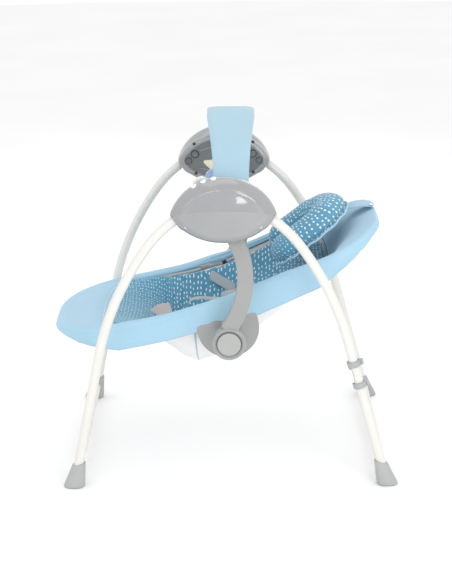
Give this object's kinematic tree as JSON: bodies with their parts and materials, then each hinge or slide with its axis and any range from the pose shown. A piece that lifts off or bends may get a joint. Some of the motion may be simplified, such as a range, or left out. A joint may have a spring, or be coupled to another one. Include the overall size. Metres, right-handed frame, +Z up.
{
  "type": "baby swing",
  "caption": "Folding baby swing: two curved tube frames, domed plastic hubs, hanging reclining fabric seat with padded liner and head pillow, and a toy arch.",
  "frame": {"origin": "on the floor, under the middle of the overall outline", "axes": "+X towards the head end of the seat, +Y towards the right-hand side of a seated baby, +Z up"},
  "size_m": [0.8023, 0.67, 0.822],
  "materials": {
    "hub_gloss": "gloss",
    "hub_matte": "satin",
    "arm_plastic": "semi-gloss",
    "dark_plastic": "matte",
    "white_plastic": "gloss",
    "dial_plastic": "gloss",
    "foot_plastic": "satin",
    "tube_paint": "semi-gloss powder coat",
    "steel": "bright",
    "battery": "sleeved",
    "board": "soldered",
    "copper": "enamelled wire",
    "outer_fabric": "woven",
    "white_fabric": "woven",
    "liner_fabric": "printed, padded",
    "webbing": "webbing",
    "tag_fabric": "printed tape without text",
    "star_fabric": "plush",
    "cloud_fabric": "plush"
  },
  "bodies": {
    "hubs": {"left_hub_cover": "hub_gloss", "right_hub_cover": "hub_gloss", "battery_door": "hub_matte", "trim_panel": "hub_matte", "left_inner_cover": "hub_gloss", "right_inner_cover": "hub_gloss", "panel_screws": "steel", "leg_pins": "steel", "pivot_shafts": "steel", "battery_tray": "dark_plastic", "battery_cells": "battery", "control_board": "board", "drive_coil": "copper"},
    "front_frame": {"front_left_leg": "tube_paint", "front_right_leg": "tube_paint", "front_crossbar": "tube_paint", "front_left_foot": "foot_plastic", "front_right_foot": "foot_plastic"},
    "rear_frame": {"rear_left_leg": "tube_paint", "rear_right_leg": "tube_paint", "rear_crossbar": "tube_paint", "rear_left_foot": "foot_plastic", "rear_right_foot": "foot_plastic", "leg_clip": "white_plastic", "leg_label": "tag_fabric"},
    "swing_arms": {"left_arm": "arm_plastic", "right_arm": "arm_plastic", "pivot_bushes": "white_plastic", "recline_shafts": "steel", "drive_magnet": "steel"},
    "seat": {"left_seat_bracket": "hub_gloss", "right_seat_bracket": "hub_gloss", "back_tube": "tube_paint", "leg_tube": "tube_paint", "seat_cover": "outer_fabric", "seat_sling": "white_fabric", "seat_liner": "liner_fabric", "head_pillow": "liner_fabric", "head_flap": "outer_fabric", "flap_snap": "steel", "crotch_strap": "webbing", "waist_straps": "webbing", "buckle": "dark_plastic", "care_tag": "tag_fabric"},
    "toy_bar": {"bar_core": "dark_plastic", "bar_sleeve": "outer_fabric", "bar_ends": "dark_plastic", "toy_tabs": "outer_fabric"},
    "speed_dial": {"speed_dial": "dial_plastic"},
    "power_button": {"power_button": "white_plastic"},
    "timer_button": {"timer_button": "white_plastic"},
    "music_button": {"music_button": "white_plastic"},
    "front_left_fold_button": {"front_left_fold_button": "dark_plastic"},
    "front_right_fold_button": {"front_right_fold_button": "dark_plastic"},
    "rear_left_fold_button": {"rear_left_fold_button": "dark_plastic"},
    "rear_right_fold_button": {"rear_right_fold_button": "dark_plastic"},
    "left_recline_button": {"left_recline_button": "hub_matte"},
    "right_recline_button": {"right_recline_button": "hub_matte"},
    "star_toy": {"star_toy": "star_fabric"},
    "cloud_toy": {"cloud_toy": "cloud_fabric"}
  },
  "joints": [
    {"name": "front_fold", "type": "hinge", "parent": "hubs", "child": "front_frame", "pos_m": [-0.081, 0, 0.643], "axis": [0, -1, 0], "range_deg": [0, 22]},
    {"name": "rear_fold", "type": "hinge", "parent": "hubs", "child": "rear_frame", "pos_m": [0.095, 0, 0.643], "axis": [0, 1, 0], "range_deg": [0, 22]},
    {"name": "seat_swing", "type": "hinge", "parent": "hubs", "child": "swing_arms", "pos_m": [0.007, 0, 0.65], "axis": [0, 1, 0], "range_deg": [-14, 14]},
    {"name": "seat_recline", "type": "hinge", "parent": "swing_arms", "child": "seat", "pos_m": [0.017, 0, 0.34], "axis": [0, -1, 0], "range_deg": [0, 20]},
    {"name": "left_recline_press", "type": "slide", "parent": "swing_arms", "child": "left_recline_button", "axis": [0, 1, 0], "range_m": [0, 0.003], "stiffness_N_per_m": 400},
    {"name": "front_left_fold_press", "type": "slide", "parent": "hubs", "child": "front_left_fold_button", "axis": [0, -1, 0], "range_m": [0, 0.003], "stiffness_N_per_m": 400},
    {"name": "rear_left_fold_press", "type": "slide", "parent": "hubs", "child": "rear_left_fold_button", "axis": [0, -1, 0], "range_m": [0, 0.003], "stiffness_N_per_m": 400},
    {"name": "right_recline_press", "type": "slide", "parent": "swing_arms", "child": "right_recline_button", "axis": [0, -1, 0], "range_m": [0, 0.003], "stiffness_N_per_m": 400},
    {"name": "front_right_fold_press", "type": "slide", "parent": "hubs", "child": "front_right_fold_button", "axis": [0, 1, 0], "range_m": [0, 0.003], "stiffness_N_per_m": 400},
    {"name": "rear_right_fold_press", "type": "slide", "parent": "hubs", "child": "rear_right_fold_button", "axis": [0, 1, 0], "range_m": [0, 0.003], "stiffness_N_per_m": 400},
    {"name": "power_press", "type": "slide", "parent": "hubs", "child": "power_button", "axis": [0.6018, 0, -0.7986], "range_m": [0, 0.0015], "stiffness_N_per_m": 400},
    {"name": "timer_press", "type": "slide", "parent": "hubs", "child": "timer_button", "axis": [0.4384, 0, -0.8988], "range_m": [0, 0.0015], "stiffness_N_per_m": 400},
    {"name": "music_press", "type": "slide", "parent": "hubs", "child": "music_button", "axis": [0.225, 0, -0.9744], "range_m": [0, 0.0015], "stiffness_N_per_m": 400},
    {"name": "speed_turn", "type": "hinge", "parent": "hubs", "child": "speed_dial", "pos_m": [-0.039, 0, 0.703], "axis": [0, 1, 0], "range_deg": [-135, 135]},
    {"name": "toy_bar_tilt", "type": "hinge", "parent": "hubs", "child": "toy_bar", "pos_m": [0.025, 0, 0.672], "axis": [0, 1, 0], "range_deg": [-45, 45]},
    {"name": "star_swing", "type": "hinge", "parent": "toy_bar", "child": "star_toy", "pos_m": [-0.005, 0.062, 0.79397], "axis": [0, 1, 0], "range_deg": [-60, 60]},
    {"name": "cloud_swing", "type": "hinge", "parent": "toy_bar", "child": "cloud_toy", "pos_m": [0.006, -0.055, 0.79548], "axis": [0, 1, 0], "range_deg": [-60, 60]}
  ]
}
